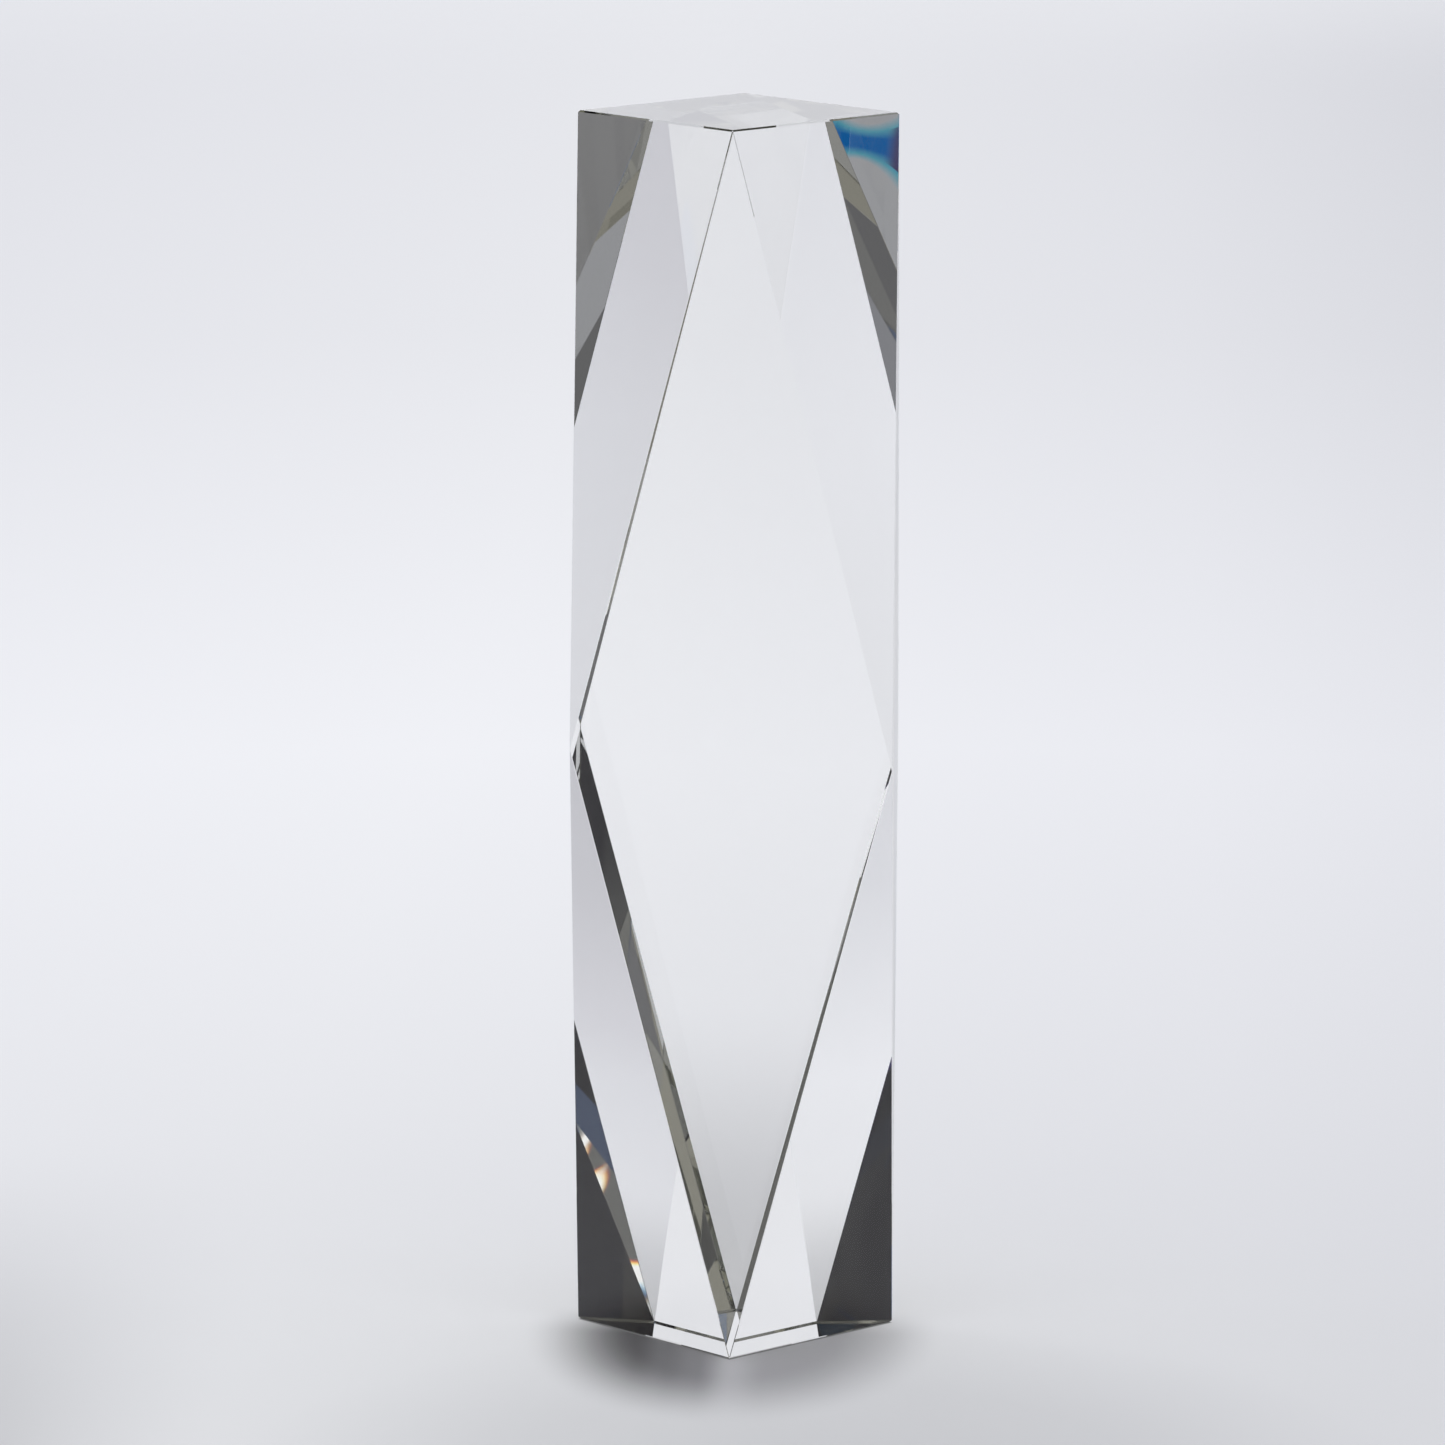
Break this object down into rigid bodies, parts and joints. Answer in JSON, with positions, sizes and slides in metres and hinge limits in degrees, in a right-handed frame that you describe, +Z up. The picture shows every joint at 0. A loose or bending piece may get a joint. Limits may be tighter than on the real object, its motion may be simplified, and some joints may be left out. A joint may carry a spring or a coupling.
{
  "type": "crystal award",
  "caption": "Tall faceted tower award cut from one solid block of clear optical crystal, with diamond and triangular faces and a flat square base to stand on.",
  "frame": {"origin": "centre of the base, on the plane that the award stands on", "axes": "+Z up along the tower; the four upright diamond faces look along +X, -X, +Y and -Y"},
  "size_m": [0.062, 0.062, 0.24],
  "materials": {
    "optical_crystal": "polished, clear, lead-free optical crystal"
  },
  "bodies": {
    "root": {"crystal_block": "optical_crystal"}
  },
  "joints": []
}
